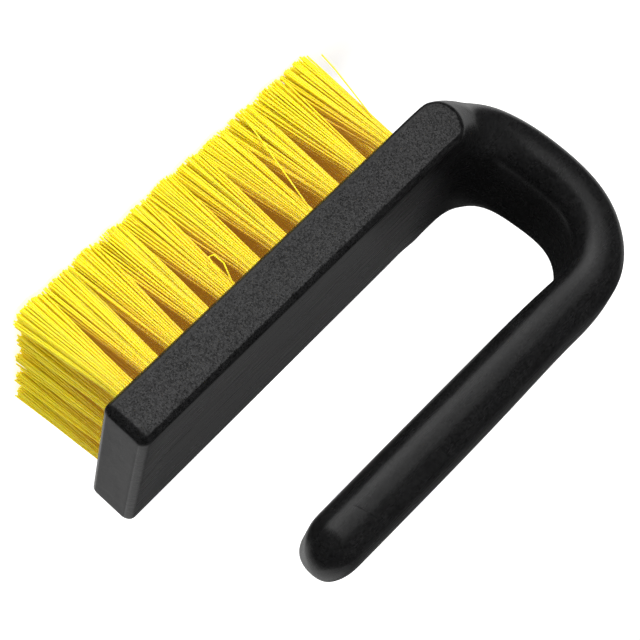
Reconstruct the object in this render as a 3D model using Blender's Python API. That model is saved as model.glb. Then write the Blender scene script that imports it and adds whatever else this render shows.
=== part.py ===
"""Hand brush with a hooked handle: a moulded body and 55 filament tufts.

Frame: the brush stands on its bristle tips. +Z is up, the grip is on top, the
bend of the handle is at -X and the block's free end at +X. Units are metres.
The origin is on the plane of the bristle tips, at the middle of the outer box.
"""
import math

import bmesh
import bpy
import numpy as np

MM = 0.001

# ---------------------------------------------------------------- dimensions
BLOCK_END_X = 76.0            # free end of the block, from the block's own middle
BLOCK_HALF_WIDTH = 38.0
BLOCK_THICKNESS = 16.6
EDGE_RADIUS = 2.3             # rounding on every edge of the block

BRISTLE_LENGTH = 38.5         # from the block's face to the trimmed tips
END_CORNER_LENGTH = 3.8       # of the two short edges of the free end, along the block
END_CORNER_WIDTH = 3.4        # and across it
END_BACK_RADIUS = 3.0         # of the free end's edge towards the block's back
TUFT_COLUMNS = 11             # along the block
TUFT_ROWS = 5                 # across the block
FIRST_COLUMN_X = 65.2         # column nearest the free end
COLUMN_PITCH = 10.30          # first pitch, at the free end
COLUMN_PITCH_GROWTH = 0.278   # each next pitch is this much wider
ROW_PITCH = 15.3
HOLE_RADIUS = 3.7
HOLE_DEPTH = 9.0
TUFT_CLEARANCE = 0.3          # between a tuft's root and its hole
TUFT_GAP = 0.3                # between neighbouring tufts at their tips
TUFT_TIP_RADIUS_Y = 6.3
TUFT_LEAN_FIRST = 0.9         # tip offset towards the free end, first column
TUFT_LEAN_GROWTH = 0.27       # more lean for each column towards the bend
TUFT_SIDES = 12
HOLE_SIDES = 12

SHOULDER_X = -64.5            # the block starts to narrow into the neck here
SHOULDER_BULGE = 5.0          # and this much later at half thickness
SHOULDER_EDGE_RADIUS = 3.0
SHOULDER_NECK_RADIUS = 12.0
SHOULDER_ANGLE = math.radians(50.0)
SHOULDER_EASE = math.radians(9.0)     # less steep by this much at the bristle face

# Stations along the centre line of the body, from the end of the block's
# straight stretch, round the bend and back along the grip:
# x, z above the block's bristle face, half width, half thickness
STATIONS = (
    (-50.0, BLOCK_THICKNESS / 2.0, 24.7, BLOCK_THICKNESS / 2.0),
    (-65.5, 8.6, 24.7, 8.5),
    (-82.7, 14.7, 24.7, 9.8),
    (-88.5, 22.2, 22.3, 9.3),
    (-92.3, 40.0, 20.2, 8.8),
    (-90.3, 58.0, 18.6, 8.7),
    (-77.5, 71.8, 17.5, 8.8),
    (-58.3, 73.4, 16.8, 9.1),
    (-29.4, 72.6, 16.2, 9.5),
    (16.9, 71.6, 15.7, 9.6),
    (57.9, 70.6, 15.3, 9.3),
)
GRIP_TIP_LENGTH = 12.0        # length of the rounded tip
GRIP_TIP_POWER = 2.4
GRIP_CORNER_WIDTH = 9.0       # rounding of the grip's section, across
NECK_CORNER_WIDTH = 8.5
PALM_CORNER_WIDTH = 4.8       # the palm face meets the sides in a tighter rounding
PALM_CROWN = 1.45             # and is slightly crowned

# mesh resolution
CORNER_STEPS = 4
FACE_STEPS = 4
SIDE_STEPS = 2
NECK_SECTIONS = 13
GRIP_SECTIONS = 10
TIP_SECTIONS = 6


# ------------------------------------------------------------------- splines
def spline_moments(t, y, start_slope):
    """Second derivatives of the cubic spline through (t, y), with its first
    slope given and its last end free."""
    n = len(t)
    h = np.diff(t)
    a = np.eye(n)
    r = np.zeros(n)
    a[0, 0], a[0, 1] = 2.0 * h[0], h[0]
    r[0] = 6.0 * ((y[1] - y[0]) / h[0] - start_slope)
    for i in range(1, n - 1):
        a[i, i - 1] = h[i - 1]
        a[i, i] = 2.0 * (h[i - 1] + h[i])
        a[i, i + 1] = h[i]
        r[i] = 6.0 * ((y[i + 1] - y[i]) / h[i] - (y[i] - y[i - 1]) / h[i - 1])
    return np.linalg.solve(a, r)


class Spline:
    def __init__(self, t, y, start_slope=0.0):
        self.t = np.asarray(t, float)
        self.y = np.asarray(y, float)
        self.m = spline_moments(self.t, self.y, start_slope)

    def _span(self, x):
        i = min(max(int(np.searchsorted(self.t, x)) - 1, 0), len(self.t) - 2)
        h = self.t[i + 1] - self.t[i]
        return i, h, (self.t[i + 1] - x) / h, (x - self.t[i]) / h

    def value(self, x):
        i, h, a, b = self._span(x)
        return (a * self.y[i] + b * self.y[i + 1]
                + ((a ** 3 - a) * self.m[i] + (b ** 3 - b) * self.m[i + 1]) * h * h / 6.0)

    def slope(self, x):
        i, h, a, b = self._span(x)
        return ((self.y[i + 1] - self.y[i]) / h
                + ((3 * b * b - 1) * self.m[i + 1] - (3 * a * a - 1) * self.m[i]) * h / 6.0)


def smoothstep(t):
    t = min(max(t, 0.0), 1.0)
    return t * t * (3.0 - 2.0 * t)


class HookShape:
    """The body as a section swept along its centre line."""

    def __init__(self):
        x = np.array([s[0] for s in STATIONS])
        z = np.array([s[1] for s in STATIONS])
        self.straight = BLOCK_END_X - x[0]    # the block's own straight stretch
        steps = np.hypot(np.diff(x), np.diff(z))
        self.reach = self.straight + np.concatenate([[0.0], np.cumsum(steps)])
        self.x = Spline(self.reach, x, -1.0)
        self.z = Spline(self.reach, z)
        self.widths = Spline(self.reach[1:], [s[2] for s in STATIONS[1:]])
        self.depths = Spline(self.reach, [s[3] for s in STATIONS])
        self.length = self.reach[-1]
        self.shoulder = BLOCK_END_X - SHOULDER_X

    def centre(self, s):
        if s <= self.straight:
            return BLOCK_END_X - s, BLOCK_THICKNESS / 2.0, -1.0, 0.0
        tx, tz = self.x.slope(s), self.z.slope(s)
        k = math.hypot(tx, tz)
        return self.x.value(s), self.z.value(s), tx / k, tz / k

    def half_depth(self, s):
        return BLOCK_THICKNESS / 2.0 if s <= self.straight else self.depths.value(s)

    def half_width(self, s, v):
        """Half width at path length s and relative height v (-1 to 1)."""
        u = s - self.shoulder - SHOULDER_BULGE * (1.0 - v * v)
        if u <= 0.0:
            return BLOCK_HALF_WIDTH
        neck = self.widths.value(max(s, self.reach[1]))
        drop = BLOCK_HALF_WIDTH - neck
        angle = SHOULDER_ANGLE - SHOULDER_EASE * (1.0 - v) / 2.0
        c, t = math.cos(angle), math.sin(angle)
        u1, f1 = SHOULDER_EDGE_RADIUS * t, SHOULDER_EDGE_RADIUS * (1 - c)
        u3, f3 = SHOULDER_NECK_RADIUS * t, SHOULDER_NECK_RADIUS * (1 - c)
        run = (drop - f1 - f3) * c / t
        if u < u1:
            f = SHOULDER_EDGE_RADIUS - math.sqrt(SHOULDER_EDGE_RADIUS ** 2 - u * u)
        elif u < u1 + run:
            f = f1 + (u - u1) * t / c
        elif u < u1 + run + u3:
            w = u1 + run + u3 - u
            f = drop - (SHOULDER_NECK_RADIUS - math.sqrt(SHOULDER_NECK_RADIUS ** 2 - w * w))
        else:
            f = drop
        return BLOCK_HALF_WIDTH - f

    def section(self, s):
        """Closed ring of (x, y, z) points at path length s."""
        cx, cz, tx, tz = self.centre(s)
        nx, nz = tz, -tx                      # towards the inside of the hook
        b = self.half_depth(s)
        # shrink at the block's free end (edge rounding) and at the grip's tip
        inset = 0.0
        if s < EDGE_RADIUS:
            inset = EDGE_RADIUS - math.sqrt(max(EDGE_RADIUS ** 2 - (EDGE_RADIUS - s) ** 2, 0.0))
        inset_y = END_CORNER_WIDTH * (1.0 - math.sqrt(1.0 - max(1.0 - s / END_CORNER_LENGTH, 0.0) ** 2))
        back = END_BACK_RADIUS * (1.0 - math.sqrt(1.0 - max(1.0 - s / END_BACK_RADIUS, 0.0) ** 2))
        d = min(max((s - (self.length - GRIP_TIP_LENGTH)) / GRIP_TIP_LENGTH, 0.0), 1.0)
        k = max(math.sqrt(max(1.0 - d ** GRIP_TIP_POWER, 0.0)), 0.10)
        # the section's rounding: small on the block, large on neck and grip
        f = smoothstep((s - self.shoulder + 2.0) / 22.0)
        g = smoothstep((s - self.reach[5]) / 60.0)
        corner_y = EDGE_RADIUS + f * (NECK_CORNER_WIDTH - EDGE_RADIUS) + g * (GRIP_CORNER_WIDTH - NECK_CORNER_WIDTH)
        corner_z = EDGE_RADIUS + f * (b - 0.4 - EDGE_RADIUS)
        corner_y -= 0.6 * inset
        corner_z -= 0.6 * inset
        top, b = (b - back) * k, (b - inset) * k
        corner_z *= k
        p = smoothstep((s - self.reach[6] + 6.0) / 34.0)
        crown = PALM_CROWN * p * k
        palm_y = corner_y + p * (PALM_CORNER_WIDTH - corner_y)
        ring = []

        def put(side, y_in, q):
            a = (self.half_width(s, min(max(q / self.half_depth(s), -1.0), 1.0)) - inset_y) * k
            ring.append((side, a, y_in * k, q))

        # counter-clockwise, seen against the path direction
        def corner(side, up, forward):
            steps = range(CORNER_STEPS + 1)
            for i in (steps if forward else reversed(steps)):
                if up > 0:
                    t = math.pi / 2.0 * i / CORNER_STEPS
                    put(side, corner_y * (1.0 - math.sin(t)), top - corner_z * (1.0 - math.cos(t)))
                else:
                    t0 = 0.2566 * p
                    t = t0 + (math.pi / 2.0 - t0) * i / CORNER_STEPS
                    put(side, palm_y * (1.0 - (math.sin(t) - math.sin(t0)) / (1.0 - math.sin(t0))),
                        (corner_z - crown) * (math.cos(t0) - math.cos(t)) / math.cos(t0) - (b - crown))

        # inner face, then the +Y side, the outer face and the -Y side
        corner(1, 1, True)
        for i in range(1, SIDE_STEPS):
            put(1, 0.0, top - corner_z - (top + b - 2.0 * corner_z) * i / SIDE_STEPS)
        corner(1, -1, False)
        mark_outer = len(ring)
        corner(-1, -1, True)
        for i in range(1, SIDE_STEPS):
            put(-1, 0.0, corner_z - b + (top + b - 2.0 * corner_z) * i / SIDE_STEPS)
        corner(-1, 1, False)

        flat = []
        for side, a, y_in, q in ring:
            flat.append((side * (a - y_in), q))
        out = flat[:mark_outer]
        y0, y1 = flat[mark_outer - 1][0], flat[mark_outer][0]
        for i in range(1, FACE_STEPS):
            y = y0 + (y1 - y0) * i / FACE_STEPS
            out.append((y, crown * (y / max(abs(y0), 1e-6)) ** 2 - b))
        out += flat[mark_outer:]
        y0, y1 = flat[-1][0], flat[0][0]
        for i in range(1, FACE_STEPS):
            out.append((y0 + (y1 - y0) * i / FACE_STEPS, top))
        return [(cx + nx * q, y, cz + nz * q) for y, q in out]

    def sections(self):
        """Path lengths of the sections."""
        s = [END_BACK_RADIUS * (1.0 - math.cos(math.pi / 2.0 * i / 5)) for i in range(6)]
        s += [40.0, 85.0, self.straight, self.shoulder - 7.5]
        first = self.shoulder - 3.0
        steps = 16
        last = self.shoulder + 28.0
        s += [first + (last - first) * i / steps for i in range(steps + 1)]
        top = self.reach[7]
        s += [last + (top - last) * i / NECK_SECTIONS for i in range(1, NECK_SECTIONS + 1)]
        tip = self.length - GRIP_TIP_LENGTH
        s += [top + (tip - top) * i / GRIP_SECTIONS for i in range(1, GRIP_SECTIONS + 1)]
        s += [tip + GRIP_TIP_LENGTH * math.sin(math.pi / 2.0 * i / TIP_SECTIONS)
              for i in range(1, TIP_SECTIONS + 1)]
        return s


# ------------------------------------------------------------------ helpers
def material(name, color, roughness, metallic=0.0):
    mat = bpy.data.materials.new(name)
    mat.use_nodes = True
    bsdf = mat.node_tree.nodes["Principled BSDF"]
    bsdf.inputs["Base Color"].default_value = (*color, 1.0)
    bsdf.inputs["Roughness"].default_value = roughness
    bsdf.inputs["Metallic"].default_value = metallic
    mat.diffuse_color = (*color, 1.0)
    return mat


def loft(bm, rings, cap=True):
    """Skin a list of equally long point rings and close both ends."""
    loops = [[bm.verts.new(p) for p in ring] for ring in rings]
    for lower, upper in zip(loops, loops[1:]):
        n = len(lower)
        for i in range(n):
            j = (i + 1) % n
            bm.faces.new((lower[i], lower[j], upper[j], upper[i]))
    if cap:
        bm.faces.new(list(reversed(loops[0])))
        bm.faces.new(loops[-1])
    bmesh.ops.recalc_face_normals(bm, faces=bm.faces)


def finish(name, bm, mat, parent, sharp_angle=35.0):
    mesh = bpy.data.meshes.new(name)
    bm.to_mesh(mesh)
    bm.free()
    obj = bpy.data.objects.new(name, mesh)
    bpy.context.scene.collection.objects.link(obj)
    if mat is not None:
        mesh.materials.append(mat)
    mesh.shade_smooth()
    mesh.set_sharp_from_angle(angle=math.radians(sharp_angle))
    obj.parent = parent
    return obj


def column_x(i):
    return FIRST_COLUMN_X - COLUMN_PITCH * i - COLUMN_PITCH_GROWTH * i * (i - 1) / 2.0


def row_y(j):
    return (j - (TUFT_ROWS - 1) / 2.0) * ROW_PITCH


def circle(x, y, z, rx, ry, sides):
    return [(x + rx * math.cos(2 * math.pi * (k + 0.5) / sides),
             y + ry * math.sin(2 * math.pi * (k + 0.5) / sides), z) for k in range(sides)]


def main():
    for obj in list(bpy.data.objects):
        bpy.data.objects.remove(obj, do_unlink=True)

    shape = HookShape()
    rings = [shape.section(s) for s in shape.sections()]
    low = min(p[0] for ring in rings for p in ring)
    shift_x = -(BLOCK_END_X + low) / 2.0      # centres the outer box on the origin
    lift = BRISTLE_LENGTH                      # height of the block's bristle face

    def world(p):
        return ((p[0] + shift_x) * MM, p[1] * MM, (p[2] + lift) * MM)

    root = bpy.data.objects.new("wheel_brush", None)
    bpy.context.scene.collection.objects.link(root)

    black = material("moulded_black_polypropylene", (0.012, 0.012, 0.013), 0.42)
    yellow = material("yellow_filament", (0.85, 0.60, 0.02), 0.38)

    # one moulding: block, bend and grip
    bm = bmesh.new()
    loft(bm, [[world(p) for p in ring] for ring in rings])
    body = finish("moulded_body", bm, black, root)

    # the blind holes that the tufts are driven into
    bm = bmesh.new()
    for i in range(TUFT_COLUMNS):
        for j in range(TUFT_ROWS):
            x, y = column_x(i), row_y(j)
            loft(bm, [[world(p) for p in circle(x, y, z, HOLE_RADIUS, HOLE_RADIUS, HOLE_SIDES)]
                      for z in (-3.0, HOLE_DEPTH)])
    drill = finish("tuft_hole_cutter", bm, None, root)
    drill.hide_render = True
    drill.display_type = "WIRE"
    cut = body.modifiers.new("tuft holes", "BOOLEAN")
    cut.operation = "DIFFERENCE"
    cut.solver = "EXACT"
    cut.object = drill

    # one solid for each filament bundle
    root_radius = HOLE_RADIUS - TUFT_CLEARANCE
    tip_x = [column_x(i) + TUFT_LEAN_FIRST + TUFT_LEAN_GROWTH * i for i in range(TUFT_COLUMNS)]
    for i in range(TUFT_COLUMNS):
        gaps = []
        if i > 0:
            gaps.append(tip_x[i - 1] - tip_x[i])
        if i < TUFT_COLUMNS - 1:
            gaps.append(tip_x[i] - tip_x[i + 1])
        tip_rx = (min(gaps) - TUFT_GAP) / 2.0
        for j in range(TUFT_ROWS):
            x, y = column_x(i), row_y(j)
            lean = tip_x[i] - x
            bundle = []
            for z, f in ((HOLE_DEPTH - 0.5, None), (-0.2, None), (-14.0, 0.36), (-BRISTLE_LENGTH, 1.0)):
                if f is None:
                    bundle.append(circle(x, y, z, root_radius, root_radius, TUFT_SIDES))
                else:
                    bundle.append(circle(x + lean * f, y, z,
                                         root_radius + (tip_rx - root_radius) * (0.25 + 0.75 * f),
                                         root_radius + (TUFT_TIP_RADIUS_Y - root_radius) * (0.25 + 0.75 * f),
                                         TUFT_SIDES))
            bm = bmesh.new()
            loft(bm, [[world(p) for p in ring] for ring in bundle])
            finish("tuft_row%d_%02d" % (j + 1, i + 1), bm, yellow, root)


main()
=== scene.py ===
"""The looks of the hooked hand brush: a fine body mesh, 55 tufts made of single
filaments, their materials, a pale floor, soft light and the camera."""
import math

import bmesh
import bpy
import numpy as np
from mathutils import Matrix, Vector

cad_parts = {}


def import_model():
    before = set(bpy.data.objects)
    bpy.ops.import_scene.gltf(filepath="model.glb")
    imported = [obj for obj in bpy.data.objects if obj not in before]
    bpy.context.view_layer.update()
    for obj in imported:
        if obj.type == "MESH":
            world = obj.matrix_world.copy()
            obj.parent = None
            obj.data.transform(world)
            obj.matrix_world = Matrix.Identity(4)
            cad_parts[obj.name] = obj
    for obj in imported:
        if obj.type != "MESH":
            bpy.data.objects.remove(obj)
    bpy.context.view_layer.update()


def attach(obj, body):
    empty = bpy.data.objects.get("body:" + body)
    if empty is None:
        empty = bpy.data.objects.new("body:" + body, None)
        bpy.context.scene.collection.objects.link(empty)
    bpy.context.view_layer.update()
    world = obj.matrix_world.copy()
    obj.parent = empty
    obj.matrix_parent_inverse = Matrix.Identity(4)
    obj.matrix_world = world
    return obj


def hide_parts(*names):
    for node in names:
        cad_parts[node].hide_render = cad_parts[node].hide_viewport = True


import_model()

MM = 0.001

# ------------------------------------------------------------- body dimensions
# millimetres, as in the CAD source; x from the block's middle, z from its
# bristle face
BLOCK_END_X = 76.0
BLOCK_HALF_WIDTH = 38.0
BLOCK_THICKNESS = 16.6
EDGE_RADIUS = 2.3
END_CORNER_LENGTH = 3.8       # of the two short edges of the free end, along the block
END_CORNER_WIDTH = 3.4        # and across it
END_BACK_RADIUS = 3.0         # of the free end's edge towards the block's back
BRISTLE_LENGTH = 38.5
TUFT_COLUMNS = 11
TUFT_ROWS = 5
FIRST_COLUMN_X = 65.2
COLUMN_PITCH = 10.30
COLUMN_PITCH_GROWTH = 0.278
ROW_PITCH = 15.3
HOLE_RADIUS = 3.7
HOLE_DEPTH = 9.0
SHIFT_X = 12.605
SHOULDER_X = -64.5
SHOULDER_BULGE = 5.0
SHOULDER_EDGE_RADIUS = 3.0
SHOULDER_NECK_RADIUS = 12.0
SHOULDER_ANGLE = math.radians(50.0)
SHOULDER_EASE = math.radians(9.0)     # less steep by this much at the bristle face
STATIONS = (
    (-50.0, BLOCK_THICKNESS / 2.0, 24.7, BLOCK_THICKNESS / 2.0),
    (-65.5, 8.6, 24.7, 8.5),
    (-82.7, 14.7, 24.7, 9.8),
    (-88.5, 22.2, 22.3, 9.3),
    (-92.3, 40.0, 20.2, 8.8),
    (-90.3, 58.0, 18.6, 8.7),
    (-77.5, 71.8, 17.5, 8.8),
    (-58.3, 73.4, 16.8, 9.1),
    (-29.4, 72.6, 16.2, 9.5),
    (16.9, 71.6, 15.7, 9.6),
    (57.9, 70.6, 15.3, 9.3),
)
GRIP_TIP_LENGTH = 12.0
GRIP_TIP_POWER = 2.4
GRIP_CORNER_WIDTH = 9.0
NECK_CORNER_WIDTH = 8.5
PALM_CORNER_WIDTH = 4.8       # the palm face meets the sides in a tighter rounding
PALM_CROWN = 1.45

# what the photograph shows beyond the plain shape
BLOCK_SINK = 0.45             # hollow of the block's back, from shrinkage
END_SINK = 0.30               # of the free-end face

# mesh resolution
CORNER_STEPS = 9
FACE_STEPS = 22
SIDE_STEPS = 6


# --------------------------------------------------------------------- splines
def spline_moments(t, y, start_slope):
    n = len(t)
    h = np.diff(t)
    a = np.eye(n)
    r = np.zeros(n)
    a[0, 0], a[0, 1] = 2.0 * h[0], h[0]
    r[0] = 6.0 * ((y[1] - y[0]) / h[0] - start_slope)
    for i in range(1, n - 1):
        a[i, i - 1] = h[i - 1]
        a[i, i] = 2.0 * (h[i - 1] + h[i])
        a[i, i + 1] = h[i]
        r[i] = 6.0 * ((y[i + 1] - y[i]) / h[i] - (y[i] - y[i - 1]) / h[i - 1])
    return np.linalg.solve(a, r)


class Spline:
    def __init__(self, t, y, start_slope=0.0):
        self.t = np.asarray(t, float)
        self.y = np.asarray(y, float)
        self.m = spline_moments(self.t, self.y, start_slope)

    def _span(self, x):
        i = min(max(int(np.searchsorted(self.t, x)) - 1, 0), len(self.t) - 2)
        h = self.t[i + 1] - self.t[i]
        return i, h, (self.t[i + 1] - x) / h, (x - self.t[i]) / h

    def value(self, x):
        i, h, a, b = self._span(x)
        return (a * self.y[i] + b * self.y[i + 1]
                + ((a ** 3 - a) * self.m[i] + (b ** 3 - b) * self.m[i + 1]) * h * h / 6.0)

    def slope(self, x):
        i, h, a, b = self._span(x)
        return ((self.y[i + 1] - self.y[i]) / h
                + ((3 * b * b - 1) * self.m[i + 1] - (3 * a * a - 1) * self.m[i]) * h / 6.0)


def smoothstep(t):
    t = min(max(t, 0.0), 1.0)
    return t * t * (3.0 - 2.0 * t)


class HookShape:
    """The body as a section swept along its centre line."""

    def __init__(self):
        x = np.array([s[0] for s in STATIONS])
        z = np.array([s[1] for s in STATIONS])
        self.straight = BLOCK_END_X - x[0]
        steps = np.hypot(np.diff(x), np.diff(z))
        self.reach = self.straight + np.concatenate([[0.0], np.cumsum(steps)])
        self.x = Spline(self.reach, x, -1.0)
        self.z = Spline(self.reach, z)
        self.widths = Spline(self.reach[1:], [s[2] for s in STATIONS[1:]])
        self.depths = Spline(self.reach, [s[3] for s in STATIONS])
        self.length = self.reach[-1]
        self.shoulder = BLOCK_END_X - SHOULDER_X

    def centre(self, s):
        if s <= self.straight:
            return BLOCK_END_X - s, BLOCK_THICKNESS / 2.0, -1.0, 0.0
        tx, tz = self.x.slope(s), self.z.slope(s)
        k = math.hypot(tx, tz)
        return self.x.value(s), self.z.value(s), tx / k, tz / k

    def half_depth(self, s):
        return BLOCK_THICKNESS / 2.0 if s <= self.straight else self.depths.value(s)

    def half_width(self, s, v):
        u = s - self.shoulder - SHOULDER_BULGE * (1.0 - v * v)
        if u <= 0.0:
            return BLOCK_HALF_WIDTH
        neck = self.widths.value(max(s, self.reach[1]))
        drop = BLOCK_HALF_WIDTH - neck
        angle = SHOULDER_ANGLE - SHOULDER_EASE * (1.0 - v) / 2.0
        c, t = math.cos(angle), math.sin(angle)
        u1, f1 = SHOULDER_EDGE_RADIUS * t, SHOULDER_EDGE_RADIUS * (1 - c)
        u3, f3 = SHOULDER_NECK_RADIUS * t, SHOULDER_NECK_RADIUS * (1 - c)
        run = (drop - f1 - f3) * c / t
        if u < u1:
            f = SHOULDER_EDGE_RADIUS - math.sqrt(SHOULDER_EDGE_RADIUS ** 2 - u * u)
        elif u < u1 + run:
            f = f1 + (u - u1) * t / c
        elif u < u1 + run + u3:
            w = u1 + run + u3 - u
            f = drop - (SHOULDER_NECK_RADIUS - math.sqrt(SHOULDER_NECK_RADIUS ** 2 - w * w))
        else:
            f = drop
        return BLOCK_HALF_WIDTH - f

    def section(self, s):
        """Closed ring of (x, y, z) points at path length s."""
        cx, cz, tx, tz = self.centre(s)
        nx, nz = tz, -tx
        b = self.half_depth(s)
        inset = 0.0
        if s < EDGE_RADIUS:
            inset = EDGE_RADIUS - math.sqrt(max(EDGE_RADIUS ** 2 - (EDGE_RADIUS - s) ** 2, 0.0))
        inset_y = END_CORNER_WIDTH * (1.0 - math.sqrt(1.0 - max(1.0 - s / END_CORNER_LENGTH, 0.0) ** 2))
        back = END_BACK_RADIUS * (1.0 - math.sqrt(1.0 - max(1.0 - s / END_BACK_RADIUS, 0.0) ** 2))
        d = min(max((s - (self.length - GRIP_TIP_LENGTH)) / GRIP_TIP_LENGTH, 0.0), 1.0)
        k = max(math.sqrt(max(1.0 - d ** GRIP_TIP_POWER, 0.0)), 0.02)
        f = smoothstep((s - self.shoulder + 2.0) / 22.0)
        g = smoothstep((s - self.reach[5]) / 60.0)
        corner_y = EDGE_RADIUS + f * (NECK_CORNER_WIDTH - EDGE_RADIUS) + g * (GRIP_CORNER_WIDTH - NECK_CORNER_WIDTH)
        corner_z = EDGE_RADIUS + f * (b - 0.4 - EDGE_RADIUS)
        corner_y -= 0.6 * inset
        corner_z -= 0.6 * inset
        top, b = (b - back) * k, (b - inset) * k
        corner_z *= k
        p = smoothstep((s - self.reach[6] + 6.0) / 34.0)
        crown = PALM_CROWN * p * k
        palm_y = corner_y + p * (PALM_CORNER_WIDTH - corner_y)
        ring = []

        def put(side, y_in, q):
            a = (self.half_width(s, min(max(q / self.half_depth(s), -1.0), 1.0)) - inset_y) * k
            ring.append((side, a, y_in * k, q))

        def corner(side, up, forward):
            steps = range(CORNER_STEPS + 1)
            for i in (steps if forward else reversed(steps)):
                if up > 0:
                    t = math.pi / 2.0 * i / CORNER_STEPS
                    put(side, corner_y * (1.0 - math.sin(t)), top - corner_z * (1.0 - math.cos(t)))
                else:
                    t0 = 0.2566 * p
                    t = t0 + (math.pi / 2.0 - t0) * i / CORNER_STEPS
                    put(side, palm_y * (1.0 - (math.sin(t) - math.sin(t0)) / (1.0 - math.sin(t0))),
                        (corner_z - crown) * (math.cos(t0) - math.cos(t)) / math.cos(t0) - (b - crown))

        corner(1, 1, True)
        for i in range(1, SIDE_STEPS):
            put(1, 0.0, top - corner_z - (top + b - 2.0 * corner_z) * i / SIDE_STEPS)
        corner(1, -1, False)
        mark_outer = len(ring)
        corner(-1, -1, True)
        for i in range(1, SIDE_STEPS):
            put(-1, 0.0, corner_z - b + (top + b - 2.0 * corner_z) * i / SIDE_STEPS)
        corner(-1, 1, False)

        flat = [(side * (a - y_in), q) for side, a, y_in, q in ring]
        out = flat[:mark_outer]
        y0, y1 = flat[mark_outer - 1][0], flat[mark_outer][0]
        for i in range(1, FACE_STEPS):
            y = y0 + (y1 - y0) * i / FACE_STEPS
            out.append((y, crown * (y / max(abs(y0), 1e-6)) ** 2 - b))
        out += flat[mark_outer:]
        y0, y1 = flat[-1][0], flat[0][0]
        # the inner face: the block's back sinks a little as the thick plastic shrinks
        block = 1.0 - smoothstep((s - self.shoulder + 12.0) / 18.0)
        block *= smoothstep((s - EDGE_RADIUS) / 12.0)
        for i in range(1, FACE_STEPS):
            y = y0 + (y1 - y0) * i / FACE_STEPS
            w = 1.0 - (y / max(abs(y0), 1e-6)) ** 2
            out.append((y, top - block * BLOCK_SINK * w))
        return [(cx + nx * q, y, cz + nz * q) for y, q in out]

    def sections(self):
        s = [END_BACK_RADIUS * (1.0 - math.cos(math.pi / 2.0 * i / 18)) for i in range(19)]
        last = self.shoulder - 8.0
        s += [END_BACK_RADIUS + (last - END_BACK_RADIUS) * i / 42 for i in range(1, 43)]
        top = self.shoulder + 30.0
        s += [last + (top - last) * i / 72 for i in range(1, 73)]
        tip = self.length - GRIP_TIP_LENGTH
        s += [top + (tip - top) * i / 120 for i in range(1, 121)]
        s += [tip + GRIP_TIP_LENGTH * math.sin(math.pi / 2.0 * i / 20) for i in range(1, 21)]
        return s


def world(p):
    return ((p[0] + SHIFT_X) * MM, p[1] * MM, (p[2] + BRISTLE_LENGTH) * MM)


def column_x(i):
    return FIRST_COLUMN_X - COLUMN_PITCH * i - COLUMN_PITCH_GROWTH * i * (i - 1) / 2.0


def row_y(j):
    return (j - (TUFT_ROWS - 1) / 2.0) * ROW_PITCH


def add_object(name, mesh):
    obj = bpy.data.objects.new(name, mesh)
    bpy.context.scene.collection.objects.link(obj)
    return obj


def loft(bm, rings):
    loops = [[bm.verts.new(p) for p in ring] for ring in rings]
    for lower, upper in zip(loops, loops[1:]):
        n = len(lower)
        for i in range(n):
            j = (i + 1) % n
            bm.faces.new((lower[i], lower[j], upper[j], upper[i]))
    return loops


# ------------------------------------------------------------------- materials
class Nodes:
    """Short calls for building a node tree."""

    def __init__(self, tree):
        self.tree = tree

    def add(self, kind, inputs=None, **settings):
        node = self.tree.nodes.new(kind)
        for key, value in settings.items():
            setattr(node, key, value)
        for key, value in (inputs or {}).items():
            if isinstance(value, bpy.types.NodeSocket):
                self.tree.links.new(value, node.inputs[key])
            else:
                node.inputs[key].default_value = value
        return node

    def math(self, operation, a, b=0.0, clamp=False):
        return self.add("ShaderNodeMath", {0: a, 1: b}, operation=operation, use_clamp=clamp).outputs[0]

    def ramp(self, value, low, high, to_low=0.0, to_high=1.0, smooth=True):
        node = self.add("ShaderNodeMapRange", {"Value": value, "From Min": low, "From Max": high,
                                               "To Min": to_low, "To Max": to_high})
        node.interpolation_type = "SMOOTHSTEP" if smooth else "LINEAR"
        node.clamp = True
        return node.outputs[0]

    def noise(self, vector, scale, detail=2.0, roughness=0.5, distortion=0.0):
        return self.add("ShaderNodeTexNoise", {"Vector": vector, "Scale": scale, "Detail": detail,
                                               "Roughness": roughness, "Distortion": distortion}).outputs[0]

    def mix(self, factor, a, b):
        node = self.add("ShaderNodeMix", data_type="RGBA")
        for socket, value in ((node.inputs[0], factor), (node.inputs[6], a), (node.inputs[7], b)):
            if isinstance(value, bpy.types.NodeSocket):
                self.tree.links.new(value, socket)
            else:
                socket.default_value = value
        return node.outputs[2]


def new_material(name):
    mat = bpy.data.materials.new(name)
    mat.use_nodes = True
    tree = mat.node_tree
    tree.nodes.clear()
    n = Nodes(tree)
    out = n.add("ShaderNodeOutputMaterial")
    bsdf = n.add("ShaderNodeBsdfPrincipled")
    tree.links.new(bsdf.outputs[0], out.inputs[0])
    return mat, n, bsdf


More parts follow.
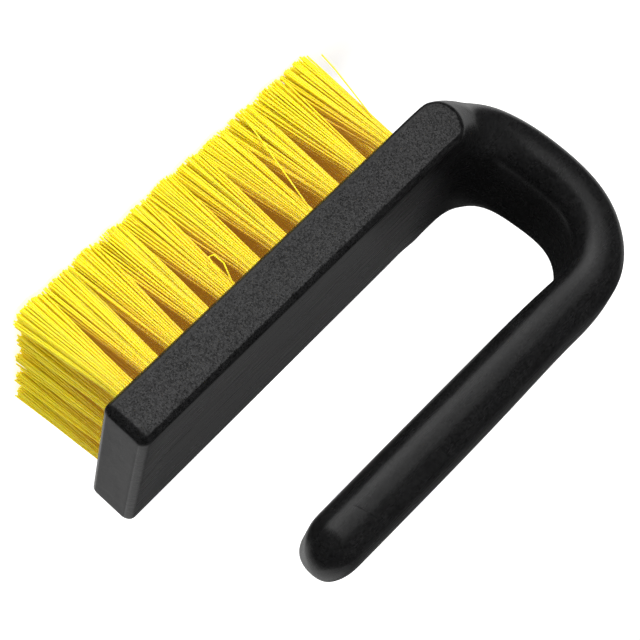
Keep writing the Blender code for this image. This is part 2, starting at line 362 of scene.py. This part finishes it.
def black_moulding():
    """Black polypropylene: eroded matt grain on the flat sides, smoother
    rounded edges, faint flow streaks, a little dust."""
    mat, n, bsdf = new_material("black_polypropylene")
    link = n.tree.links.new
    place = n.add("ShaderNodeTexCoord").outputs["Object"]
    normal = n.add("ShaderNodeNewGeometry").outputs["Normal"]
    parts = n.add("ShaderNodeSeparateXYZ", {0: normal})
    across = n.math("ABSOLUTE", parts.outputs[1])
    endways = n.math("ABSOLUTE", parts.outputs[0])
    height = n.add("ShaderNodeSeparateXYZ", {0: place}).outputs[2]
    flat = n.math("MULTIPLY", n.ramp(n.math("MAXIMUM", across, endways), 0.955, 0.995),
                  n.ramp(height, 0.0605, 0.0555))

    # eroded mould texture: small irregular cells
    jitter = n.add("ShaderNodeTexNoise", {"Vector": place, "Scale": 2600.0, "Detail": 1.0}).outputs[1]
    bent = n.add("ShaderNodeVectorMath", {0: place, 1: n.add("ShaderNodeVectorMath", {0: jitter, "Scale": 0.00028},
                 operation="SCALE").outputs[0]}, operation="ADD").outputs[0]
    pits = n.add("ShaderNodeTexVoronoi", {"Vector": bent, "Scale": 2300.0, "Randomness": 1.0})
    cell = n.add("ShaderNodeSeparateColor", {0: pits.outputs["Color"]}).outputs[1]
    coarse = n.noise(place, 420.0, 3.0, 0.55)
    cloud = n.noise(place, 70.0, 3.0, 0.6)
    stretched = n.add("ShaderNodeMapping", {"Vector": place, "Scale": (0.16, 1.0, 1.0)}).outputs[0]
    streak = n.noise(stretched, 260.0, 3.0, 0.6, 0.6)

    # colour: near black, greyer where the grain scatters the light
    tone = n.math("ADD", n.math("MULTIPLY", cell, n.math("ADD", n.math("MULTIPLY", flat, 0.75), 0.25)),
                  n.math("MULTIPLY", n.math("SUBTRACT", cloud, 0.5), 0.25), clamp=True)
    colour = n.mix(tone, (0.0025, 0.0025, 0.0026, 1.0), (0.0300, 0.0300, 0.0304, 1.0))
    # dust: sparse, tiny light specks
    cells = n.add("ShaderNodeTexVoronoi", {"Vector": place, "Scale": 190.0, "Randomness": 1.0})
    speck = n.math("MULTIPLY", n.ramp(cells.outputs["Distance"], 0.075, 0.045),
                   n.math("GREATER_THAN", n.add("ShaderNodeSeparateColor",
                                                {0: cells.outputs["Color"]}).outputs[0], 0.965))
    colour = n.mix(n.math("MULTIPLY", speck, 0.5), colour, (0.30, 0.30, 0.30, 1.0))
    link(colour, bsdf.inputs["Base Color"])

    rough = n.math("ADD", n.math("MULTIPLY", flat, 0.22), 0.27)
    rough = n.math("ADD", rough, n.math("MULTIPLY", n.math("SUBTRACT", streak, 0.5), 0.10))
    rough = n.math("ADD", rough, n.math("MULTIPLY", n.math("MULTIPLY", n.math("SUBTRACT", cell, 0.5), flat), 0.12))
    link(rough, bsdf.inputs["Roughness"])

    fine = n.add("ShaderNodeBump", {"Strength": 0.6, "Distance": 0.00006,
                                    "Height": n.math("MULTIPLY", pits.outputs["Distance"],
                                                     n.math("ADD", n.math("MULTIPLY", flat, 0.65), 0.35))})
    # moulding marks: a hairline and short pits on the block's back, and a flow
    # line across the grip; the places are in millimetres from the block's middle
    spot = n.add("ShaderNodeVectorMath", {0: n.add("ShaderNodeVectorMath", {0: place, "Scale": 1000.0},
                 operation="SCALE").outputs[0], 1: (-SHIFT_X, 0.0, -BRISTLE_LENGTH)}, operation="ADD").outputs[0]
    sx, sy, sz = n.add("ShaderNodeSeparateXYZ", {0: spot}).outputs
    wave = n.math("MULTIPLY", n.math("SUBTRACT", n.noise(place, 300.0, 2.0, 0.5), 0.5), 1.6)
    bent_y = n.math("ADD", n.math("MULTIPLY", n.math("POWER", n.math("ABSOLUTE", n.math("SUBTRACT", sx, 58.0)), 2.0),
                                  0.0155), -4.3)
    off = n.math("ABSOLUTE", n.math("ADD", n.math("SUBTRACT", sy, bent_y), wave))
    marks = n.math("MULTIPLY", n.ramp(off, 0.95, 0.35), n.math("MULTIPLY", n.ramp(sx, 48.0, 53.0), n.ramp(sx, 75.0, 73.6)))
    for px, py in ((-40.6, -16.7), (-51.3, -5.3), (-26.4, -1.5), (-11.2, -7.5)):
        near = n.math("MAXIMUM", n.math("MULTIPLY", n.math("ABSOLUTE", n.math("SUBTRACT", sx, px)), 0.45),
                      n.math("ABSOLUTE", n.math("ADD", n.math("SUBTRACT", sy, py), wave)))
        marks = n.math("MAXIMUM", marks, n.ramp(near, 1.0, 0.4, 0.0, 0.75))
    marks = n.math("MULTIPLY", marks, n.math("MULTIPLY", n.ramp(sz, 15.4, 15.9), n.ramp(sz, 17.6, 17.2)))
    across_grip = n.math("ABSOLUTE", n.math("ADD", n.math("ADD", sx, n.math("MULTIPLY", sz, 0.24)), -55.5))
    flow_line = n.math("MULTIPLY", n.ramp(across_grip, 0.38, 0.12, 0.0, 0.6),
                       n.math("MULTIPLY", n.ramp(sz, 67.0, 69.0), n.ramp(sy, -11.5, -13.0)))
    marks = n.math("MAXIMUM", marks, flow_line)
    link(n.ramp(marks, 0.0, 1.0, 0.5, 0.04, smooth=False), bsdf.inputs["Specular IOR Level"])

    broad = n.add("ShaderNodeBump", {"Strength": 0.30, "Distance": 0.00008, "Height": coarse,
                                     "Normal": fine.outputs[0]})
    flow = n.add("ShaderNodeBump", {"Strength": 0.18, "Distance": 0.00012, "Height": streak,
                                    "Normal": broad.outputs[0]})
    link(flow.outputs[0], bsdf.inputs["Normal"])
    bsdf.inputs["IOR"].default_value = 1.5
    return mat


def yellow_filament():
    """Extruded yellow filament, slightly translucent; every filament has its own
    tone. Inside the tuft, towards the root, painted shade turns it a deeper orange, and every filament has a faint
    painted glow."""
    mat, n, bsdf = new_material("yellow_nylon_filament")
    link = n.tree.links.new
    tone = n.add("ShaderNodeAttribute", attribute_name="tone").outputs["Fac"]
    along = n.add("ShaderNodeAttribute", attribute_name="along").outputs["Fac"]
    place = n.add("ShaderNodeTexCoord").outputs["Object"]
    drawn = n.add("ShaderNodeMapping", {"Vector": place, "Scale": (1.0, 1.0, 0.06)}).outputs[0]
    streak = n.noise(drawn, 2600.0, 2.0, 0.5)
    shade = n.math("ADD", n.math("MULTIPLY", tone, 0.75), n.math("MULTIPLY", streak, 0.25))
    colour = n.mix(shade, (0.86, 0.645, 0.026, 1.0), (0.91, 0.770, 0.040, 1.0))
    # painted shade: the colour turns a deeper orange inside the tuft towards the root, standing in for light that has
    # passed many filaments
    buried = n.add("ShaderNodeAttribute", attribute_name="buried").outputs["Fac"]
    painted_shade_and_glow = n.math("MULTIPLY", buried, n.ramp(along, 1.0, 0.35, 0.0, 0.92))
    colour = n.mix(painted_shade_and_glow, colour, (0.66, 0.400, 0.060, 1.0))
    link(colour, bsdf.inputs["Base Color"])
    link(n.math("ADD", n.math("MULTIPLY", streak, 0.16), 0.32), bsdf.inputs["Roughness"])
    bump = n.add("ShaderNodeBump", {"Strength": 0.25, "Distance": 0.00003, "Height": streak})
    link(bump.outputs[0], bsdf.inputs["Normal"])
    # painted light: a faint glow on every filament, stronger where the painted shade is, standing in for light passed
    # on from filament to filament inside a tuft
    link(colour, bsdf.inputs["Emission Color"])
    link(n.math("ADD", n.math("MULTIPLY", painted_shade_and_glow, 0.11), 0.03), bsdf.inputs["Emission Strength"])
    bsdf.inputs["IOR"].default_value = 1.45
    bsdf.inputs["Subsurface Weight"].default_value = 0.8
    bsdf.inputs["Subsurface Radius"].default_value = (1.0, 0.75, 0.12)
    bsdf.inputs["Subsurface Scale"].default_value = 0.0012
    return mat


BLACK = black_moulding()
YELLOW = yellow_filament()


# ------------------------------------------------------------------------ body
def build_body():
    shape = HookShape()
    bm = bmesh.new()
    loops = loft(bm, [[world(p) for p in shape.section(s)] for s in shape.sections()])

    # the free end: rings that shrink to the middle of the face, which sinks a little
    ring = [Vector(v.co) for v in loops[0]]
    middle = sum(ring, Vector()) / len(ring)
    inner = loops[0]
    for i in range(1, 9):
        f = 1.0 - i / 9.0
        sink = END_SINK * MM * (1.0 - f * f)
        new = []
        for p in ring:
            q = middle + (p - middle) * f
            q.x -= sink
            new.append(bm.verts.new(q))
        for a in range(len(ring)):
            b = (a + 1) % len(ring)
            bm.faces.new((inner[a], inner[b], new[b], new[a]))
        inner = new
    bm.faces.new(inner)
    bm.faces.new(loops[-1])
    bmesh.ops.recalc_face_normals(bm, faces=bm.faces)
    mesh = bpy.data.meshes.new("body_skin")
    bm.to_mesh(mesh)
    bm.free()
    body = add_object("body_skin", mesh)

    # the blind holes that the tufts stand in, with a small lead-in
    bm = bmesh.new()
    for i in range(TUFT_COLUMNS):
        for j in range(TUFT_ROWS):
            rings = []
            for r, z in ((HOLE_RADIUS + 0.35, -2.0), (HOLE_RADIUS + 0.35, -0.001), (HOLE_RADIUS, 0.45),
                         (HOLE_RADIUS, HOLE_DEPTH)):
                rings.append([world((column_x(i) + r * math.cos(2 * math.pi * k / 28),
                                     row_y(j) + r * math.sin(2 * math.pi * k / 28), z)) for k in range(28)])
            ends = loft(bm, rings)
            bm.faces.new(ends[0])
            bm.faces.new(ends[-1])
    bmesh.ops.recalc_face_normals(bm, faces=bm.faces)
    cut_mesh = bpy.data.meshes.new("hole_cutter")
    bm.to_mesh(cut_mesh)
    bm.free()
    cutter = add_object("hole_cutter", cut_mesh)
    step = body.modifiers.new("holes", "BOOLEAN")
    step.operation = "DIFFERENCE"
    step.solver = "EXACT"
    step.object = cutter
    depsgraph = bpy.context.evaluated_depsgraph_get()
    drilled = bpy.data.meshes.new_from_object(body.evaluated_get(depsgraph))
    body.modifiers.clear()
    body.data = drilled
    bpy.data.objects.remove(cutter, do_unlink=True)
    drilled.materials.clear()
    drilled.materials.append(BLACK)
    drilled.shade_smooth()
    drilled.set_sharp_from_angle(angle=math.radians(38.0))
    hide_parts("moulded_body")
    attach(body, "root")
    return body


# ---------------------------------------------------------------------- tufts
FILAMENT_SIDES = 6
FILAMENT_STEPS = 5


def filament_roots(spacing, radius):
    """Close-packed places inside a round hole."""
    spots = []
    rows = int(radius / (spacing * 0.866)) + 2
    for a in range(-rows, rows + 1):
        for b in range(-rows, rows + 1):
            x = (b + 0.5 * (a % 2)) * spacing
            y = a * spacing * 0.866
            if math.hypot(x, y) <= radius - spacing * 0.45:
                spots.append((x, y))
    return np.array(spots)


def build_tuft(i, j, extra=()):
    rng = np.random.default_rng(1000 + 37 * i + 911 * j)
    spots = filament_roots(0.53, 3.5)
    spots = spots + rng.normal(0.0, 0.05, spots.shape)
    count = len(spots)
    lean = 0.9 + 0.27 * i
    gap = COLUMN_PITCH + COLUMN_PITCH_GROWTH * max(i - 1, 0)
    reach_x, reach_y = 0.655 * gap, 7.5
    unit = spots / 3.45
    # tips: spread from the root, drawn together in a few clumps
    tips = unit * np.array([reach_x, reach_y])
    clumps = rng.uniform(-1.0, 1.0, (7, 2)) * np.array([reach_x, reach_y]) * 0.85
    near = np.argmin(((tips[:, None, :] - clumps[None]) ** 2).sum(2), axis=1)
    tips = tips + (clumps[near] - tips) * rng.uniform(0.0, 0.13, (count, 1))
    tips += rng.normal(0.0, 0.26, tips.shape)
    tips[:, 0] = np.clip(tips[:, 0], -1.03 * reach_x, 1.03 * reach_x)
    loose = rng.random(count) < 0.04
    tips[:, 0] += np.where(loose, rng.uniform(-1.0, 1.0, count), 0.0)
    tips[:, 1] = np.clip(tips[:, 1], -6.9, 6.9)
    twist = rng.normal(0.0, 0.05)
    c, s = math.cos(twist), math.sin(twist)
    tips = tips @ np.array([[c, s], [-s, c]])
    tips += np.array([lean + rng.normal(0.0, 0.35), rng.normal(0.0, 0.35)])
    tips[:, 1] = np.clip(tips[:, 1], -7.05, 7.05)
    r2 = (unit ** 2).sum(1)
    lengths = BRISTLE_LENGTH - 0.15 - rng.uniform(0.0, 0.7) - 0.35 * r2 - np.abs(rng.normal(0.0, 0.30, count))
    short = rng.random(count) < 0.03
    lengths = np.where(short, lengths - rng.uniform(1.0, 4.5, count), lengths)
    bow = rng.normal(0.0, 0.16, (count, 2))
    sizes = rng.normal(0.278, 0.012, count)
    tones = np.clip(rng.normal(0.5, 0.22, count), 0.0, 1.0)

    lines = []
    for k in range(count):
        line = []
        for m in range(FILAMENT_STEPS + 1):
            t = m / FILAMENT_STEPS
            # straight inside the hole, then fanning out to the tip
            z = HOLE_DEPTH * 0.5 - (HOLE_DEPTH * 0.5 + lengths[k]) * t
            out = max(0.0, -z) / BRISTLE_LENGTH
            f = out
            x = spots[k, 0] + (tips[k, 0] - spots[k, 0]) * f + bow[k, 0] * math.sin(math.pi * out)
            y = spots[k, 1] + (tips[k, 1] - spots[k, 1]) * f + bow[k, 1] * math.sin(math.pi * out)
            line.append((column_x(i) + x, row_y(j) + y, z))
        lines.append((line, sizes[k], tones[k]))
    for line in extra:
        lines.append((line, 0.25, 0.6))

    verts, faces, along, tone, buried = [], [], [], [], []
    for line, size, value in lines:
        base = len(verts)
        line = np.array(line, float)
        phase = rng.uniform(0.0, math.pi)
        for m, p in enumerate(line):
            d = line[min(m + 1, len(line) - 1)] - line[max(m - 1, 0)]
            d /= np.linalg.norm(d)
            u = np.cross(d, (0.0, 1.0, 0.0))
            u /= np.linalg.norm(u)
            v = np.cross(d, u)
            for q in range(FILAMENT_SIDES):
                a = phase + 2 * math.pi * q / FILAMENT_SIDES
                p2 = p + (u * math.cos(a) + v * math.sin(a)) * size
                verts.append(world(p2))
                # buried: how far a point lies inside the tuft's outer filaments; the filament material paints shade
                # and a glow with it
                inward = min((36.6 - abs(p2[1])) / 6.5, (70.5 - p2[0]) / 6.5, (p2[0] + 56.5) / 6.5)
                buried.append(min(max(inward, 0.0), 1.0))
                along.append(min(max(-p[2] / BRISTLE_LENGTH, 0.0), 1.0))
                tone.append(value)
        n = FILAMENT_SIDES
        for m in range(len(line) - 1):
            for q in range(n):
                r = (q + 1) % n
                faces.append((base + m * n + q, base + m * n + r, base + (m + 1) * n + r, base + (m + 1) * n + q))
        faces.append(tuple(base + q for q in reversed(range(n))))
        last = base + (len(line) - 1) * n
        faces.append(tuple(last + q for q in range(n)))
    name = "bristles_row%d_%02d" % (j + 1, i + 1)
    mesh = bpy.data.meshes.new(name)
    mesh.from_pydata(verts, [], faces)
    bm = bmesh.new()
    bm.from_mesh(mesh)
    bmesh.ops.recalc_face_normals(bm, faces=bm.faces)
    bm.to_mesh(mesh)
    bm.free()
    for label, values in (("along", along), ("tone", tone), ("buried", buried)):
        mesh.attributes.new(label, "FLOAT", "POINT").data.foreach_set("value", values)
    mesh.materials.append(YELLOW)
    mesh.shade_smooth()
    mesh.set_sharp_from_angle(angle=math.radians(65.0))
    tuft = add_object(name, mesh)
    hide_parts("tuft_row%d_%02d" % (j + 1, i + 1))
    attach(tuft, "root")
    return tuft


# single filaments that stand away from their tuft in the photograph
STRAYS = {
    (10, 0): [[(-50.9, -31.6, 4.0), (-52.4, -33.4, -8.0), (-54.2, -35.2, -20.0), (-55.3, -36.3, -28.0),
               (-55.9, -36.6, -33.6)]],
    (0, 4): [[(65.6, 31.8, 4.0), (66.6, 33.6, -8.0), (67.4, 36.0, -21.0), (67.2, 37.3, -33.0), (67.3, 37.4, -38.2)]],
    (4, 0): [[(21.6, -32.6, 4.0), (19.9, -34.4, -2.0), (18.4, -36.4, -6.5), (18.9, -37.3, -10.2), (20.4, -37.2, -10.8),
              (21.4, -37.0, -8.4), (21.2, -36.8, -5.6)]],
    (7, 0): [[(-13.8, -32.6, 4.0), (-16.6, -35.4, -12.0), (-19.8, -36.9, -27.0), (-21.7, -37.1, -36.5)]],
}

build_body()
for column in range(TUFT_COLUMNS):
    for row in range(TUFT_ROWS):
        build_tuft(column, row, STRAYS.get((column, row), ()))


# ------------------------------------------------------- floor, light, camera
def build_floor():
    bm = bmesh.new()
    bmesh.ops.create_circle(bm, cap_ends=True, radius=6.0, segments=96)
    mesh = bpy.data.meshes.new("studio_floor")
    bm.to_mesh(mesh)
    bm.free()
    floor = add_object("studio_floor", mesh)
    mat, n, bsdf = new_material("pale_floor")
    bsdf.inputs["Base Color"].default_value = (0.72, 0.72, 0.72, 1.0)
    bsdf.inputs["Roughness"].default_value = 0.9
    bsdf.inputs["Specular IOR Level"].default_value = 0.0
    bsdf.inputs["Emission Color"].default_value = (1.0, 1.0, 1.0, 1.0)
    bsdf.inputs["Emission Strength"].default_value = 0.70
    mesh.materials.append(mat)
    floor.visible_glossy = floor.visible_shadow = False


def build_world():
    """The studio's surroundings as a function of direction: a soft light panel
    in front (-Y), a white sweep behind (+Y), and dark sides and ceiling, which
    is what draws the dark lines along the rounded edges."""
    sky = bpy.data.worlds.new("studio")
    bpy.context.scene.world = sky
    sky.use_nodes = True
    sky.node_tree.nodes.clear()
    n = Nodes(sky.node_tree)
    d = n.add("ShaderNodeSeparateXYZ", {0: n.add("ShaderNodeTexCoord").outputs["Generated"]})
    x, y, z = d.outputs[0], d.outputs[1], d.outputs[2]

    def both(value, low0, low1, high1, high0):
        return n.math("MULTIPLY", n.ramp(value, low0, low1), n.ramp(value, high0, high1))

    def level_by(value, points):
        ramp = n.add("ShaderNodeValToRGB", {0: n.math("MULTIPLY", n.math("ADD", value, 1.0), 0.5)})
        for k, (at, level) in enumerate(points):
            e = ramp.color_ramp.elements[k] if k < 2 else ramp.color_ramp.elements.new((at + 1.0) / 2.0)
            e.position = (at + 1.0) / 2.0
            e.color = (level, level, level, 1.0)
        return ramp.outputs[0]

    panel = n.math("MULTIPLY", both(x, -0.80, -0.30, 0.05, 0.35), level_by(z, PANEL_PROFILE))
    panel = n.math("MULTIPLY", panel, n.ramp(y, 0.02, -0.30))
    sweep = n.math("MULTIPLY", n.ramp(y, 0.12, 0.42), n.ramp(z, -0.75, -0.45))
    sweep = n.math("MULTIPLY", sweep, n.ramp(x, 0.80, 0.52))
    aside = n.math("MAXIMUM", n.ramp(x, -0.20, 0.08), n.ramp(x, -0.62, -0.80))
    bright = n.math("MULTIPLY", aside, level_by(z, SWEEP_SIDE_PROFILE))
    fall = n.math("ADD", bright, n.math("MULTIPLY", n.math("SUBTRACT", 1.0, aside), level_by(z, SWEEP_PROFILE)))
    sweep = n.math("MULTIPLY", sweep, fall)
    level = n.math("ADD", n.math("MULTIPLY", panel, PANEL_LEVEL), n.math("MULTIPLY", sweep, SWEEP_LEVEL))
    level = n.math("ADD", level, ROOM_LEVEL)
    back = n.add("ShaderNodeBackground", {"Color": (1.0, 1.0, 1.0, 1.0), "Strength": level})
    out = n.add("ShaderNodeOutputWorld")
    n.tree.links.new(back.outputs[0], out.inputs[0])


def build_backdrop():
    """A pale dome that only the camera sees."""
    bm = bmesh.new()
    bmesh.ops.create_uvsphere(bm, u_segments=48, v_segments=24, radius=8.0)
    mesh = bpy.data.meshes.new("studio_backdrop")
    bm.to_mesh(mesh)
    bm.free()
    dome = add_object("studio_backdrop", mesh)
    mat, n, bsdf = new_material("pale_backdrop")
    bsdf.inputs["Base Color"].default_value = (0.0, 0.0, 0.0, 1.0)
    bsdf.inputs["Specular IOR Level"].default_value = 0.0
    bsdf.inputs["Emission Color"].default_value = (1.0, 1.0, 1.0, 1.0)
    bsdf.inputs["Emission Strength"].default_value = 1.05
    mesh.materials.append(mat)
    dome.visible_diffuse = dome.visible_glossy = dome.visible_transmission = False
    dome.visible_volume_scatter = dome.visible_shadow = False


def build_flag():
    """A black flag behind the hook, seen only in reflections, for the dark inside
    of the bend."""
    bm = bmesh.new()
    y = 0.026
    corners = [(-0.086, y, 0.055), (-0.033, y, 0.055), (-0.033, y, 0.112), (-0.086, y, 0.112)]
    bm.faces.new([bm.verts.new(c) for c in corners])
    mesh = bpy.data.meshes.new("studio_flag")
    bm.to_mesh(mesh)
    bm.free()
    flag = add_object("studio_flag", mesh)
    mat, n, bsdf = new_material("black_flag")
    bsdf.inputs["Base Color"].default_value = (0.0, 0.0, 0.0, 1.0)
    bsdf.inputs["Specular IOR Level"].default_value = 0.0
    place = n.add("ShaderNodeSeparateXYZ", {0: n.add("ShaderNodeTexCoord").outputs["Object"]})
    x, z = place.outputs[0], place.outputs[2]
    low = n.ramp(x, -0.034, -0.084, 0.0, 0.85, smooth=False)
    high = n.math("MULTIPLY", n.ramp(z, 0.064, 0.071), n.ramp(x, -0.034, -0.046, 0.0, 0.96))
    n.tree.links.new(n.math("MAXIMUM", low, high), bsdf.inputs["Alpha"])
    mesh.materials.append(mat)
    flag.visible_camera = flag.visible_diffuse = flag.visible_transmission = False
    flag.visible_volume_scatter = flag.visible_shadow = False


def sun_light(name, toward, angle, strength, glossy=False):
    """A very soft distant light from the direction `toward`, in diffuse light only."""
    data = bpy.data.lights.new(name, "SUN")
    data.angle = math.radians(angle)
    data.energy = strength
    light = bpy.data.objects.new(name, data)
    bpy.context.scene.collection.objects.link(light)
    light.rotation_mode = "QUATERNION"
    light.rotation_quaternion = Vector(toward).to_track_quat("Z", "Y")
    light.visible_glossy = glossy
    light.visible_camera = False


PANEL_LEVEL = 1.5
PANEL_PROFILE = ((-0.97, 0.1), (-0.80, 0.9), (-0.60, 1.0), (-0.15, 0.40), (0.10, 0.38), (0.20, 0.12), (0.30, 0.0))
SWEEP_LEVEL = 1.0
SWEEP_PROFILE = ((-0.30, 0.40), (-0.05, 0.10), (0.12, 0.11), (0.22, 0.10), (0.35, 0.05), (0.60, 0.03))
SWEEP_SIDE_PROFILE = ((-0.20, 0.66), (0.05, 0.46), (0.40, 0.32), (0.70, 0.02))
ROOM_LEVEL = 0.02

build_floor()
build_backdrop()
build_flag()
build_world()
sun_light("key", (-0.10, -0.97, 0.05), 30.0, 1.0)
sun_light("front", (-0.06, -0.99, 0.10), 18.0, 1.5)
sun_light("low_key", (-0.40, -0.65, -0.62), 45.0, 1.3)
sun_light("overhead", (0.05, -0.15, 1.0), 70.0, 2.6)

cam_data = bpy.data.cameras.new("camera")
cam_data.sensor_width = 36.0
cam_data.lens = 98.5725
cam_data.clip_start, cam_data.clip_end = 0.01, 50.0
cam = bpy.data.objects.new("camera", cam_data)
bpy.context.scene.collection.objects.link(cam)
cam.matrix_world = Matrix((
    (-0.653457, -0.646660, 0.393478, 0.224644),
    (-0.160701, -0.389451, -0.906920, -0.498252),
    (0.739709, -0.655865, 0.150570, 0.140644),
    (0.0, 0.0, 0.0, 1.0)))
bpy.context.scene.camera = cam
bpy.context.scene.view_settings.view_transform = "Standard"
